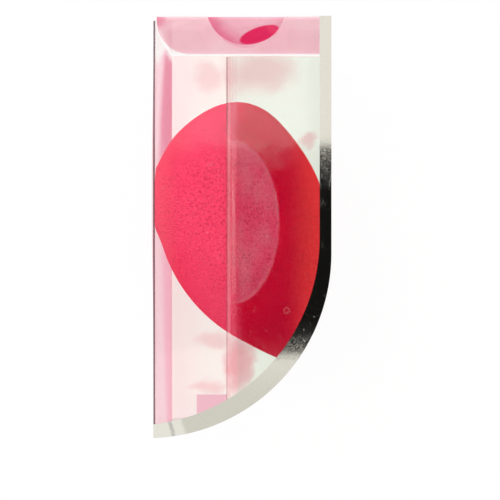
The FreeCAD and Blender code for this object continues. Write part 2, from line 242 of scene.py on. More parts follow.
# %% Finish of the near side wall
wall_low, wall_high = (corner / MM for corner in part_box("upper_side_wall"))
lap_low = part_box("inner_side_lap")[0] / MM
NOTCH_WIDTH = 18.4
NOTCH_DEPTH = 7.0
NOTCH_X = 1.9
NOTCH_RADIUS = ((NOTCH_WIDTH / 2) ** 2 + NOTCH_DEPTH ** 2) / (2 * NOTCH_DEPTH)
NOTCH_Y = wall_high.y - NOTCH_DEPTH + NOTCH_RADIUS
NOTCH_FROST = 0.16
TOP_FROST = 0.3
CUT_EDGE = 0.28
CLEAR_TINT = (0.998, 0.995, 0.99)
BLOOM_COLOUR = (1.0, 0.8, 0.84)
BLOOM_SIZE = 6.0
BLOOM_EDGES = (0.2, 0.8)
BLOOM_HAZE = (0.002, 0.006)
BLOOM_SOFT = 0.3
BACK_BLOOM_FROM = -13.0
BACK_BLOOM_HAZE = 0.025
DUST_HAZE = 0.1
LEAST_HAZE = 0.001


def near_wall_finish():
    material, tree, place_mm = start_finish("near_wall_film")
    x, y = split(tree, place_mm)[0:2]
    single_layer = ramp(tree, x, lap_low.x - BLOOM_SOFT, lap_low.x, 1.0, 0.0)
    rubbed = clouds(tree, place_mm, BLOOM_SIZE, *BLOOM_HAZE, edges=BLOOM_EDGES)
    bloom = sums(tree, "MULTIPLY", single_layer, rubbed)
    bloom = sums(tree, "ADD", bloom, ramp(tree, x, BACK_BLOOM_FROM, wall_low.x, 0.0, BACK_BLOOM_HAZE))
    from_notch = add_node(tree, "VectorMath", {0: place_mm, 1: (NOTCH_X, NOTCH_Y, wall_high.z)},
                          operation="DISTANCE").outputs["Value"]
    frost_ends = NOTCH_RADIUS + CUT_EDGE
    frost_full = NOTCH_RADIUS + CUT_EDGE / 2
    notch_edge = ramp(tree, from_notch, frost_ends, frost_full, 0.0, NOTCH_FROST)
    top_edge = ramp(tree, y, wall_high.y - CUT_EDGE, wall_high.y, 0.0, TOP_FROST)
    lines = scratches(tree, place_mm, spacing=6.0, turn=0.6, thickness=0.03)
    specks = dust(tree, place_mm, spacing=3.5, radius=0.3)
    marks = sums(tree, "MULTIPLY", lines, SCRATCH_HAZE)
    marks = sums(tree, "ADD", marks, sums(tree, "MULTIPLY", specks, DUST_HAZE))
    haze = sums(tree, "ADD", sums(tree, "MAXIMUM", notch_edge, top_edge), sums(tree, "ADD", bloom, marks))
    haze = sums(tree, "ADD", haze, LEAST_HAZE)
    waves = waviness(tree, place_mm, size=22.0, strength=0.14)
    finish_sheet(tree, CLEAR_TINT, haze, BLOOM_COLOUR, gloss_roughness=0.075, normal=waves)
    return material


dress("upper_side_wall", near_wall_finish())

# %% [markdown]
# ## The lap behind it
#
# The second layer is greyer, because light crosses it on the way in and on the way out. Where the squeezed
# foam touches it, an oval contact patch looks hazy, and a wiped smear crosses it higher up. Its cut edge
# shows as a dark line with a pale band beside it. Above the foam the line is darker and the band narrower,
# and the glue shows most on the middle of the foam. One small air bubble is caught between the layers.

# %% Finish of the lap
LAP_TINT = (0.918, 0.988, 0.957)
WOBBLE_SIZE = 2.5
WOBBLE = 0.25
CONTACT_CENTRE = (-1.55, 1.2)
CONTACT_HALF_SIZES = (11.3, 19.6)
CONTACT_HAZE = (0.8, 0.6, 0.64)
SMEAR_SIZE = 8.0
SMEAR_STRETCH = (1.6, 0.7, 1.0)
SMEAR_EDGES = (0.36, 0.7)
SMEAR_HAZE = 0.05
RIM_HAZE = 0.02
WIPED_CENTRE = (5.5, 17.5)
WIPED_HALF_SIZES = (10.0, 5.0)
WIPED_SIZE = 2.5
WIPED_EDGES = (0.4, 0.7)
WIPED_HAZE = (0.01, 0.042)
BUBBLE_CENTRE = (11.5, -19.8)
BUBBLE_HALF_SIZES = (0.75, 0.75)
BUBBLE_HAZE = 0.05
LEAVES_FOAM_Y = (19.0, 25.0)
EDGE_LINE = 0.28
EDGE_CORE = 0.6
EDGE_TINT = (0.8, 0.7, 0.7)
FREE_EDGE_TINT = (0.5, 0.36, 0.36)
EDGE_HAZE = 0.1
BAND_START = 0.35
BAND_END = 0.9
BAND_SOFT = 0.15
BAND_HAZE = (0.18, 0.27)
BAND_TINT = (0.99, 0.99, 0.985)
FREE_BAND_TINT = (0.9, 0.925, 0.9)
CLEAR_ON_FOAM = 2.1
CLEAR_ABOVE = 0.9
CLEAR_SOFT = 0.9
SEAM_HAZE = (0.96, 0.385, 0.465)
STRING_SIZE = 1.2
STRING_STRETCH = (1.6, 0.06, 1.0)
STRING_EDGES = (0.35, 0.7)


def broken_strings(tree, place_mm, low, high):
    """Streaks along Y, as dried glue has."""
    return clouds(tree, place_mm, STRING_SIZE, low, high, edges=STRING_EDGES, stretch=STRING_STRETCH)


def contact_patch(tree, place_mm, xyz):
    """Haze of the oval where the foam is pressed on the lap, and of the wiped smear above it."""
    wobble = clouds(tree, place_mm, WOBBLE_SIZE, -WOBBLE, WOBBLE)
    wobbling = add_node(tree, "CombineXYZ", {0: sums(tree, "ADD", xyz[0], wobble), 1: xyz[1]}).outputs[0]
    wobbling_xyz = split(tree, wobbling)
    contact = oval(tree, wobbling_xyz, CONTACT_CENTRE, CONTACT_HALF_SIZES, soft_from=0.985, soft_to=1.0)
    inside = oval(tree, wobbling_xyz, CONTACT_CENTRE, CONTACT_HALF_SIZES, soft_from=0.94, soft_to=0.985)
    rim = sums(tree, "SUBTRACT", contact, inside)
    smears = clouds(tree, place_mm, SMEAR_SIZE, 0.0, SMEAR_HAZE, edges=SMEAR_EDGES,
                    stretch=SMEAR_STRETCH, detail=5.0)
    patch = sums(tree, "ADD", sums(tree, "MULTIPLY", contact, smears), sums(tree, "MULTIPLY", rim, RIM_HAZE))
    wiped = oval(tree, wobbling_xyz, WIPED_CENTRE, WIPED_HALF_SIZES, soft_from=0.4, soft_to=1.1)
    streaked = clouds(tree, place_mm, WIPED_SIZE, *WIPED_HAZE, edges=WIPED_EDGES, detail=4.0)
    return sums(tree, "MAXIMUM", patch, sums(tree, "MULTIPLY", wiped, streaked))


def lap_finish():
    material, tree, place_mm = start_finish("lap_film")
    xyz = split(tree, place_mm)
    patch = contact_patch(tree, place_mm, xyz)
    ring_outside = oval(tree, xyz, BUBBLE_CENTRE, BUBBLE_HALF_SIZES, soft_from=1.0, soft_to=1.25)
    ring_inside = oval(tree, xyz, BUBBLE_CENTRE, BUBBLE_HALF_SIZES, soft_from=0.5, soft_to=0.8)
    bubble = sums(tree, "MULTIPLY", sums(tree, "SUBTRACT", ring_outside, ring_inside), BUBBLE_HAZE)
    from_edge = sums(tree, "SUBTRACT", xyz[0], lap_low.x)
    dark_edge = ramp(tree, from_edge, EDGE_LINE * EDGE_CORE, EDGE_LINE, 1.0, 0.0)
    pale_band = within(tree, from_edge, BAND_START, BAND_END, BAND_SOFT)
    band_haze = sums(tree, "MULTIPLY", pale_band, broken_strings(tree, place_mm, *BAND_HAZE))
    band_haze = sums(tree, "ADD", band_haze, sums(tree, "MULTIPLY", dark_edge, EDGE_HAZE))
    above_foam = ramp(tree, xyz[1], *LEAVES_FOAM_Y)
    clear_up_to = ramp(tree, above_foam, 0.0, 1.0, CLEAR_ON_FOAM, CLEAR_ABOVE)
    past_clear = sums(tree, "SUBTRACT", from_edge, clear_up_to)
    clear_band = ramp(tree, past_clear, 0.0, CLEAR_SOFT, 1.0, 0.0)
    lines = scratches(tree, place_mm, spacing=4.5, turn=-0.5, thickness=0.03)
    marks = sums(tree, "MULTIPLY", lines, SCRATCH_HAZE)
    haze = sums(tree, "ADD", sums(tree, "ADD", patch, bubble), sums(tree, "ADD", band_haze, marks))
    haze = sums(tree, "ADD", haze, LEAST_HAZE)
    haze_colour = mix_colours(tree, sums(tree, "MAXIMUM", pale_band, dark_edge), CONTACT_HAZE, SEAM_HAZE)
    band_tint = mix_colours(tree, above_foam, BAND_TINT, FREE_BAND_TINT)
    tint = mix_colours(tree, clear_band, LAP_TINT, band_tint)
    edge_tint = mix_colours(tree, above_foam, EDGE_TINT, FREE_EDGE_TINT)
    tint = mix_colours(tree, dark_edge, tint, edge_tint)
    waves = waviness(tree, place_mm, size=18.0, strength=0.16)
    finish_sheet(tree, tint, haze, haze_colour, gloss_roughness=0.08, normal=waves)
    return material


dress("inner_side_lap", lap_finish())

# %% Finish of the line of glue
glue_low, glue_high = (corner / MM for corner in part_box("lap_glue_line"))
GLUE_TINT = (0.985, 0.96, 0.965)
GLUE_HAZE = (0.18, 0.42)
GLUE_THIN_END = 0.4
GLUE_ON_FOAM_Y = (-13.0, 18.0)
GLUE_SOFT = 5.0
GLUE_OFF_FOAM = 0.3


def glue_finish():
    material, tree, place_mm = start_finish("dried_glue")
    x, y = split(tree, place_mm)[0:2]
    strings = broken_strings(tree, place_mm, *GLUE_HAZE)
    thin_end = ramp(tree, x, glue_low.x, glue_high.x, 1.0, GLUE_THIN_END)
    on_foam = ramp(tree, within(tree, y, *GLUE_ON_FOAM_Y, GLUE_SOFT), 0.0, 1.0, GLUE_OFF_FOAM, 1.0)
    haze = sums(tree, "MULTIPLY", strings, sums(tree, "MULTIPLY", thin_end, on_foam))
    finish_sheet(tree, GLUE_TINT, haze, SEAM_HAZE, gloss_roughness=0.12)
    return material


dress("lap_glue_line", glue_finish())

# %% [markdown]
# ## The other clear walls
#
# The far side wall carries a few soft rosy blots of painted pink shadow, cast through the pink print, and
# one blank patch of the same pink, and is a little rosier beside the back wall from painted pink light cast
# through it. The front wall is plain clear sheet, frosted on its creases and cuts.

# %% Finish of the far side wall
# Each painted pink shadow blot has a centre, half sizes, a turn and a strength
PAINTED_SHADOW_BLOTS = (
    ((-9.6, 43.2), (4.2, 5.2), 0.5, 0.36),
    ((3.6, 44.6), (11.0, 6.2), 0.1, 0.6),
    ((17.2, 26.8), (3.4, 2.0), 0.2, 0.6),
    ((-8.2, -28.5), (5.4, 2.6), 0.0, 0.35),
    ((-1.4, -34.5), (4.0, 9.0), 0.0, 1.0),
    ((-9.6, -40.8), (5.6, 2.0), 0.0, 0.4),
)
PAINTED_SHADOW_TINT = (0.95, 0.64, 0.67)
WANDER = 6.0
WANDER_SCALE = 0.16
MIDDLE_GREY = (0.5, 0.5, 0.5)
PATCH_LOW = (-12.9, -48.2)
PATCH_HIGH = (-5.0, -43.3)
PATCH_SOFT = 0.3
PATCH_TINT = (0.95, 0.72, 0.78)
FAR_TINT = (0.996, 0.955, 0.932)
FAR_HAZE = 0.006
FAR_HAZE_COLOUR = (1.0, 0.95, 0.93)
PAINTED_CAST_LIGHT_TINT = (0.996, 0.915, 0.908)
PAINTED_CAST_LIGHT_X = (-8.0, -18.5)


def far_wall_finish():
    material, tree, place_mm = start_finish("far_wall_film")
    x, y = split(tree, place_mm)[0:2]
    sockets = {"Vector": place_mm, "Scale": WANDER_SCALE, "Detail": 3.0}
    wander = add_node(tree, "TexNoise", sockets).outputs["Color"]
    wander = add_node(tree, "VectorMath", {0: wander, 1: MIDDLE_GREY}, operation="SUBTRACT").outputs[0]
    wander = add_node(tree, "VectorMath", {0: wander, "Scale": WANDER}, operation="SCALE").outputs[0]
    uneven = add_node(tree, "VectorMath", {0: place_mm, 1: wander}, operation="ADD").outputs[0]
    uneven_xyz = split(tree, uneven)
    # painted pink shadows, cast through the pink print, as soft rosy blots
    blots = 0.0
    for centre, half_sizes, turn, strength in PAINTED_SHADOW_BLOTS:
        blot = oval(tree, uneven_xyz, centre, half_sizes, soft_from=0.3, soft_to=1.3, turn=turn)
        blots = sums(tree, "MAXIMUM", blots, sums(tree, "MULTIPLY", blot, strength))
    patch = sums(tree, "MULTIPLY", within(tree, x, PATCH_LOW[0], PATCH_HIGH[0], PATCH_SOFT),
                 within(tree, y, PATCH_LOW[1], PATCH_HIGH[1], PATCH_SOFT))
    # painted pink light cast through the back wall, rosier towards it
    tint = mix_colours(tree, ramp(tree, x, *PAINTED_CAST_LIGHT_X), FAR_TINT, PAINTED_CAST_LIGHT_TINT)
    tint = mix_colours(tree, blots, tint, PAINTED_SHADOW_TINT)
    tint = mix_colours(tree, patch, tint, PATCH_TINT)
    waves = waviness(tree, place_mm, size=12.0, strength=0.05)
    finish_sheet(tree, tint, FAR_HAZE, FAR_HAZE_COLOUR, gloss_roughness=0.04, normal=waves)
    return material


dress("lower_side_wall", far_wall_finish())

# %% Finish of the front wall
front_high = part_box("front_wall")[1] / MM
LOW_CREASE_Z = (0.9, 0.5)
HIGH_CREASE_Z = (39.0, 39.4)
CREASE_FROST = 0.2
CUT_FROST = 0.1
FRONT_HAZE = 0.006
FRONT_HAZE_COLOUR = (1.0, 0.97, 0.96)


def front_wall_finish():
    material, tree, place_mm = start_finish("clear_film")
    y, z = split(tree, place_mm)[1:3]
    low_crease = ramp(tree, z, *LOW_CREASE_Z, 0.0, CREASE_FROST)
    high_crease = ramp(tree, z, *HIGH_CREASE_Z, 0.0, CREASE_FROST)
    creases = sums(tree, "MAXIMUM", low_crease, high_crease)
    cuts = ramp(tree, y, front_high.y - CUT_EDGE, front_high.y, 0.0, CUT_FROST)
    lines = scratches(tree, place_mm, spacing=6.0, turn=0.2, thickness=0.04)
    marks = sums(tree, "MULTIPLY", lines, SCRATCH_HAZE)
    haze = sums(tree, "ADD", sums(tree, "MAXIMUM", creases, cuts), sums(tree, "ADD", marks, FRONT_HAZE))
    waves = waviness(tree, place_mm, size=12.0, strength=0.06)
    finish_sheet(tree, CLEAR_TINT, haze, FRONT_HAZE_COLOUR, gloss_roughness=0.03, normal=waves)
    return material


dress("front_wall", front_wall_finish())

# %% [markdown]
# ## Pink see-through sheet
#
# The back wall, the lid and its flaps are pink. On the back wall the pink runs in painted reflection streaks
# along the case, deeper towards the far side and higher up, and fades out below the lid; its near crease,
# seen edge-on, has a painted dark line. The lid and the dust flaps are paler, and the lid is almost clear at
# its back end. The tuck flap has painted shade, deeper pink at its back corner and along the thumb notch,
# and has one crimson oval, which shows in the notch.

# %% Finish of the back wall
CLEAR_PINK = (0.995, 0.975, 0.975)
PALE_PINK = (1.0, 0.875, 0.905)
DEEP_PINK = (0.975, 0.64, 0.735)
UPPER_PINK = (0.9, 0.46, 0.585)
UPPER_Y = (8.0, 30.0)
UPPER_Z = (18.0, 8.0)
PALE_HAZE = (1.0, 0.64, 0.7)
DEEP_HAZE = (0.95, 0.4, 0.52)
REFLECTION_STREAK_SIZE = 3.0
REFLECTION_STREAK_SHADE = 0.35
FAR_SIDE_Z = (14.0, 4.0)
FAR_SIDE_SHADE = 0.65
PINK_ENDS_Z = (28.0, 12.0)
PINK_ENDS_Y = (39.5, 46.0)
PINK_FADE = 3.0
PAINTED_CREASE_LINE_Z = (39.1, 39.3)
PAINTED_CREASE_SHADE = (0.18, 0.12, 0.13)
BACK_HAZE = (0.02, 0.05)


def back_wall_finish():
    material, tree, place_mm = start_finish("pink_back_film")
    y, z = split(tree, place_mm)[1:3]
    depth_only = add_node(tree, "CombineXYZ", {2: z}).outputs[0]
    # painted reflection streaks in the pink, running along the case
    streaks = clouds(tree, depth_only, REFLECTION_STREAK_SIZE, 0.0, REFLECTION_STREAK_SHADE, detail=4.0)
    shade = sums(tree, "ADD", streaks, ramp(tree, z, *FAR_SIDE_Z, 0.0, FAR_SIDE_SHADE))
    pink = mix_colours(tree, shade, PALE_PINK, DEEP_PINK)
    upper = sums(tree, "MULTIPLY", ramp(tree, y, *UPPER_Y), ramp(tree, z, *UPPER_Z))
    pink = mix_colours(tree, upper, pink, UPPER_PINK)
    pink_haze = mix_colours(tree, shade, PALE_HAZE, DEEP_HAZE)
    pink_up_to = ramp(tree, z, *PINK_ENDS_Z, *PINK_ENDS_Y)
    is_pink = ramp(tree, sums(tree, "SUBTRACT", y, pink_up_to), 0.0, PINK_FADE, 1.0, 0.0)
    tint = mix_colours(tree, is_pink, CLEAR_PINK, pink)
    # painted dark line along the near crease, where the sheet is seen edge-on
    tint = mix_colours(tree, ramp(tree, z, *PAINTED_CREASE_LINE_Z), tint, PAINTED_CREASE_SHADE)
    haze = ramp(tree, is_pink, 0.0, 1.0, *BACK_HAZE)
    waves = waviness(tree, place_mm, size=6.0, strength=0.1)
    finish_sheet(tree, tint, haze, pink_haze, gloss_roughness=0.06, normal=waves, shine=0.2)
    return material


dress("back_wall", back_wall_finish())

# %% Finish of the lid and the dust flaps beside it
PINK_HAZE = (1.0, 0.62, 0.72)
PINK_CLOUDS = 9.0
LID_TINT = (0.995, 0.955, 0.965)
LID_CLOUD_TINT = (0.992, 0.94, 0.955)
LID_FADES_X = (-14.5, -17.5)
LID_HAZE = (0.004, 0.02)
DUST_FLAP_TINT = (0.998, 0.988, 0.99)
DUST_FLAP_CLOUDS = 5.0
DUST_FLAP_HAZE = (0.001, 0.006)


def lid_finish():
    material, tree, place_mm = start_finish("pale_pink_film")
    x = split(tree, place_mm)[0]
    cloudy = clouds(tree, place_mm, PINK_CLOUDS)
    pink = mix_colours(tree, cloudy, LID_TINT, LID_CLOUD_TINT)
    tint = mix_colours(tree, ramp(tree, x, *LID_FADES_X), pink, CLEAR_PINK)
    haze = ramp(tree, cloudy, 0.0, 1.0, *LID_HAZE)
    waves = waviness(tree, place_mm, size=7.0, strength=0.1)
    finish_sheet(tree, tint, haze, PINK_HAZE, gloss_roughness=0.05, normal=waves, shine=0.7)
    return material


def dust_flap_finish():
    material, tree, place_mm = start_finish("faint_pink_film")
    haze = clouds(tree, place_mm, DUST_FLAP_CLOUDS, *DUST_FLAP_HAZE)
    waves = waviness(tree, place_mm, size=7.0, strength=0.1)
    finish_sheet(tree, DUST_FLAP_TINT, haze, PINK_HAZE, gloss_roughness=0.05, normal=waves, shine=0.2)
    return material


faint_pink_film = dust_flap_finish()
dress("lid_panel", lid_finish())
dress("back_dust_flap", faint_pink_film)
dress("front_dust_flap", faint_pink_film)

# %% Finish of the tuck flap
FLAP_TINT = (0.992, 0.79, 0.835)
FLAP_CLOUD_TINT = (0.992, 0.82, 0.86)
FLAP_HAZE = (0.015, 0.035)
FLAP_CORNER_SHADE = (-19.4, 50.0)
FLAP_CORNER_SHADE_SIZES = (3.0, 4.0)
PAINTED_SHADE_PINK = (0.93, 0.48, 0.6)
NOTCH_SHADE_MIDDLE = 0.76
NOTCH_SHADE_SIDES_X = (NOTCH_X + 4.0, NOTCH_X - 6.0)
NOTCH_SHADE_SIDES_SHARE = (0.3, 1.0)
SPOT_CENTRE = (4.95, 45.95)
SPOT_HALF_SIZES = (5.0, 1.75)
SPOT_TURN = 0.33
SPOT_TINT = (0.93, 0.17, 0.38)
SPOT_HAZE_SHARE = 0.2


def tuck_flap_finish():
    material, tree, place_mm = start_finish("pink_film_with_spot")
    xyz = split(tree, place_mm)
    cloudy = clouds(tree, place_mm, PINK_CLOUDS)
    tint = mix_colours(tree, cloudy, FLAP_TINT, FLAP_CLOUD_TINT)
    notch_centre = (NOTCH_X, NOTCH_Y)
    notch_half_sizes = (NOTCH_RADIUS, NOTCH_RADIUS)
    in_notch = oval(tree, xyz, notch_centre, notch_half_sizes, soft_from=0.98, soft_to=1.03)
    away_from_edge = oval(tree, xyz, notch_centre, notch_half_sizes, soft_from=0.6, soft_to=0.97)
    # painted shade along the thumb notch's edge, paler in its middle and most on its back side
    rim = sums(tree, "SUBTRACT", in_notch, sums(tree, "MULTIPLY", away_from_edge, NOTCH_SHADE_MIDDLE))
    rim = sums(tree, "MULTIPLY", rim, ramp(tree, xyz[0], *NOTCH_SHADE_SIDES_X, *NOTCH_SHADE_SIDES_SHARE))
    # painted shade in the flap's back corner
    corner = oval(tree, xyz, FLAP_CORNER_SHADE, FLAP_CORNER_SHADE_SIZES, soft_from=0.2, soft_to=1.0)
    tint = mix_colours(tree, sums(tree, "MAXIMUM", rim, corner), tint, PAINTED_SHADE_PINK)
    spot = oval(tree, xyz, SPOT_CENTRE, SPOT_HALF_SIZES, soft_from=0.88, soft_to=1.06, turn=SPOT_TURN)
    tint = mix_colours(tree, spot, tint, SPOT_TINT)
    haze = ramp(tree, cloudy, 0.0, 1.0, *FLAP_HAZE)
    haze = sums(tree, "MULTIPLY", haze, ramp(tree, spot, 0.0, 1.0, 1.0, SPOT_HAZE_SHARE))
    waves = waviness(tree, place_mm, size=7.0, strength=0.1)
    finish_sheet(tree, tint, haze, PINK_HAZE, gloss_roughness=0.05, normal=waves)
    return material


dress("tuck_flap", tuck_flap_finish())

# %% [markdown]
# ## Mirror foil
#
# The border is metal foil on film. It mirrors the room, so its bright and black stretches come from the
# light,
# but some of its reflection is painted: darker along the lower arc, and paler past a kink that crosses the
# band near its end on the back crease, with a painted dark line along the kink. Fine rolling lines, nicks
# and scratches break up the edges of the mirror image.

# %% Finish of the foil border
FOIL_BRIGHT = (0.77, 0.745, 0.67)
FOIL_DULL_AND_SHADED = (0.57, 0.57, 0.5)
FOIL_PAINTED_PALE = (0.78, 0.77, 0.7)
FOIL_ROUGHNESS = 0.05
GRAIN_SIZE = 0.4
GRAIN_STRETCH = (1.0, 0.6, 1.0)
GRAIN_EDGES = (0.35, 0.65)
GRAIN_DULLNESS = 0.12
LOWER_ARC_Y = (-26.0, -42.0)
LOWER_ARC_PAINTED_SHADE = 0.7
KINK_X = -16.0
KINK_Y = -47.0
KINK_SLANT = -0.3
KINK_WANDER = 0.2
KINK_WANDER_SIZE = 2.5
KINK_HALF_WIDTH = 0.15
KINK_SOFT = 0.6
KINK_FADE_SIZE = 2.0
KINK_FADE = (0.45, 1.0)
KINK_PAINTED_DARK_LINE = (0.5, 0.5, 0.48)
PAINTED_PALE_END_X = -13.0
PAINTED_PALE_END_SOFT = 0.7
UPPER_WEAR = {"low": 11.0, "high": 18.5, "soft": 4.0}
LOWER_WEAR = {"low": -30.5, "high": -27.0, "soft": 2.5}
WEAR_SIZE = 0.3
WEAR_EDGES = (0.45, 0.7)
WEAR_ROUGHNESS = 0.15
NICK_ROUGHNESS = 0.17
SCRATCH_ROUGHNESS = 0.18
FOIL_BUMP = {"Strength": 0.05, "Distance": 0.02 * MM}


def foil_colour(tree, place_mm, x, y, grain):
    """Bright foil with grain, painted darker reflection along the lower arc, and painted paler reflection at
    the end behind a painted dark line along a slanted kink.
    """
    slant = sums(tree, "MULTIPLY", sums(tree, "SUBTRACT", y, KINK_Y), KINK_SLANT)
    wander = clouds(tree, place_mm, KINK_WANDER_SIZE, -KINK_WANDER, KINK_WANDER)
    slanted = sums(tree, "ADD", sums(tree, "SUBTRACT", x, slant), wander)
    kink = within(tree, slanted, KINK_X - KINK_HALF_WIDTH, KINK_X + KINK_HALF_WIDTH, KINK_SOFT)
    kink = sums(tree, "MULTIPLY", kink, clouds(tree, place_mm, KINK_FADE_SIZE, *KINK_FADE))
    # painted darker reflection along the lower arc
    painted_lower_arc = ramp(tree, y, *LOWER_ARC_Y, 0.0, LOWER_ARC_PAINTED_SHADE)
    grain_and_painted_shade = sums(tree, "ADD", ramp(tree, grain, *GRAIN_EDGES, 0.0, GRAIN_DULLNESS), painted_lower_arc)
    # painted paler reflection past the kink
    painted_pale_end = ramp(tree, slanted, PAINTED_PALE_END_X + PAINTED_PALE_END_SOFT, PAINTED_PALE_END_X - PAINTED_PALE_END_SOFT)
    colour = mix_colours(tree, grain_and_painted_shade, FOIL_BRIGHT, FOIL_DULL_AND_SHADED)
    colour = mix_colours(tree, painted_pale_end, colour, FOIL_PAINTED_PALE)
    return mix_colours(tree, kink, colour, KINK_PAINTED_DARK_LINE)


def foil_finish():
    material, tree, place_mm = start_finish("mirror_foil")
    x, y = split(tree, place_mm)[0:2]
    grain = noise(tree, place_mm, GRAIN_SIZE, GRAIN_STRETCH, detail=3.0)
    colour = foil_colour(tree, place_mm, x, y, grain)
    lines = scratches(tree, place_mm, spacing=2.4, turn=0.9, thickness=0.03)
    worn = sums(tree, "MAXIMUM", within(tree, y, **UPPER_WEAR), within(tree, y, **LOWER_WEAR))
    specks = clouds(tree, place_mm, WEAR_SIZE, 0.0, WEAR_ROUGHNESS, edges=WEAR_EDGES)
    wear = sums(tree, "MULTIPLY", worn, specks)
    nicks = sums(tree, "MULTIPLY", dust(tree, place_mm, spacing=1.2, radius=0.2), NICK_ROUGHNESS)
    scratched = sums(tree, "MULTIPLY_ADD", lines, SCRATCH_ROUGHNESS, FOIL_ROUGHNESS)
    roughness = sums(tree, "ADD", sums(tree, "MAXIMUM", wear, nicks), scratched)
    bump = add_node(tree, "Bump", {"Height": sums(tree, "ADD", grain, lines), **FOIL_BUMP})
    end_finish(tree, add_node(tree, "BsdfPrincipled", {
        "Base Color": colour, "Metallic": 1.0, "Roughness": roughness, "Normal": bump.outputs[0]}))
    return material


dress("foil_border", foil_finish())

# %% [markdown]
# ## The foam sponge
#
# The sponge is one piece of fine open-cell foam, so it gets its own mesh. It starts from the CAD solid,
# which already has the egg's shape and the flats where the walls squeeze it. A voxel remesh turns that into
# even small faces, and smoothing softens the rims of the flats as foam would. A few pulls, like a
# sculptor's grab brush, draw out the soft tip, shape the blunt end and spread the foam towards the back
# wall, where it is pressed flat. A displacement presses in the pores, which only go inwards, so the foam
# keeps clear of the walls.

# %% Shape of the foam
FOAM_VOXEL = 0.36 * MM
WELD_DISTANCE = FOAM_VOXEL / 100
RIM_SMOOTHING = {"factor": 0.5, "iterations": 30}
PORE_SIZE = 0.75 * MM
PORE_DEPTH = 0.1 * MM
# Each pull has the point that is grabbed, its reach and the way it goes, in millimetres
PULLS = {
    "tip": ((10.1, -30.8, 20.0), 11, (2.1, -2.0, 0.0)),
    "shoulder": ((-13.5, 28.0, 20.0), 16, (0.9, -0.9, 0.0)),
    "crown": ((2.0, 32.0, 20.0), 18, (0.4, 0.8, 0.0)),
    "side": ((-18.0, 8.0, 28.0), 14, (-2.6, 0.0, 0.0)),
}
PRESSED_BEYOND_X = -18.0 * MM
WALL_GAP = 0.2 * MM
SLIDE = 10 * MM
SLIDE_STEPS = 5
TO_BACK_WALL = Vector((-1.0, 0.0, 0.0))


def apply_modifier(piece, kind, **settings):
    """Adds a modifier to the active piece and applies it at once."""
    modifier = piece.modifiers.new(kind.lower(), kind)
    for setting, value in settings.items():
        setattr(modifier, setting, value)
    bpy.ops.object.modifier_apply(modifier=modifier.name)


def grab(piece, centre, reach, pull):
    """Moves what lies near a point, most in the middle and less towards its reach."""
    for vertex in piece.data.vertices:
        nearness = 1 - (vertex.co - centre).length / reach
        if nearness > 0:
            vertex.co += pull * (nearness ** 2 * (3 - 2 * nearness))


def press_on_wall(piece, wall):
    """Flattens a piece where it would reach through a wall on its -X side, at rest or on its slide."""
    layout = bpy.context.evaluated_depsgraph_get()
    for vertex in piece.data.vertices:
        if vertex.co.x > PRESSED_BEYOND_X:
            continue
        for step in range(SLIDE_STEPS + 1):
            slid_y = vertex.co.y + SLIDE * step / SLIDE_STEPS
            start = Vector((0.0, slid_y, vertex.co.z))
            found, inner_face, _, _ = wall.ray_cast(start, TO_BACK_WALL, depsgraph=layout)
            if found:
                vertex.co.x = max(vertex.co.x, inner_face.x + WALL_GAP)


def make_foam():
    foam = bpy.data.objects.new("foam_sponge", nodes["sponge"].data.copy())
    bpy.context.scene.collection.objects.link(foam)
    bpy.ops.object.select_all(action="DESELECT")
    bpy.context.view_layer.objects.active = foam
    foam.select_set(True)
    bpy.ops.object.mode_set(mode="EDIT")
    bpy.ops.mesh.select_all(action="SELECT")
    bpy.ops.mesh.remove_doubles(threshold=WELD_DISTANCE)
    bpy.ops.object.mode_set(mode="OBJECT")
    apply_modifier(foam, "REMESH", mode="VOXEL", voxel_size=FOAM_VOXEL)
    apply_modifier(foam, "SMOOTH", **RIM_SMOOTHING)
    for centre, reach, pull in PULLS.values():
        grab(foam, Vector(centre) * MM, reach * MM, Vector(pull) * MM)
    press_on_wall(foam, nodes["back_wall"])
    pores = bpy.data.textures.new("foam_pores", "VORONOI")
    pores.noise_scale = PORE_SIZE
    apply_modifier(foam, "DISPLACE", texture=pores, texture_coords="LOCAL", mid_level=1.0,
                   strength=PORE_DEPTH)
    bpy.ops.object.shade_smooth()
    print("foam_sponge faces:", len(foam.data.polygons))
    return foam


foam = make_foam()

# %% [markdown]
# ## Colour of the foam
#
# Under a single sheet and in the contact patch the foam shows its own rosy colour. Behind the lap it has a
# painted crimson shade, deeper towards the tip, and painted warm light where light comes in through the
# front wall. Fine cells have painted highlights, and the pores between them have painted dark shade.

# %% Finish of the foam
FOAM_ROSE = (0.83, 0.05, 0.128)
FOAM_SHADED_CRIMSON = (0.74, 0.002, 0.03)
FOAM_DEEPER_SHADE = (0.62, 0.0, 0.026)
FOAM_PAINTED_WARM_LIGHT = (1.0, 0.042, 0.05)
FOAM_ROUGHNESS = 0.9
FOAM_BUMP = {"Strength": 0.5, "Distance": 0.1 * MM}
ROSE_FADE = 4.5
DEEPER_SHADE_Y = (-16.0, -27.0)
PAINTED_WARM_LIGHT_X = (10.5, 19.0)
LIT_CELL = (1.0, 0.25, 0.35)
LIT_CLOUDS = 7.0
LIT_CLOUD_EDGES = (0.5, 0.8)
LIT_CLOUD_SHARE = 0.015
CELL_SIZE = 0.4
LIT_CELL_EDGES = (0.52, 0.75)
LIT_CELL_SHARE = 0.025
PORE_PAINTED_SHADE = (0.34, 0.0, 0.03)
PORE_SHADE_EDGES = (0.48, 0.32)
PORE_SHADE_SHARE = 0.58


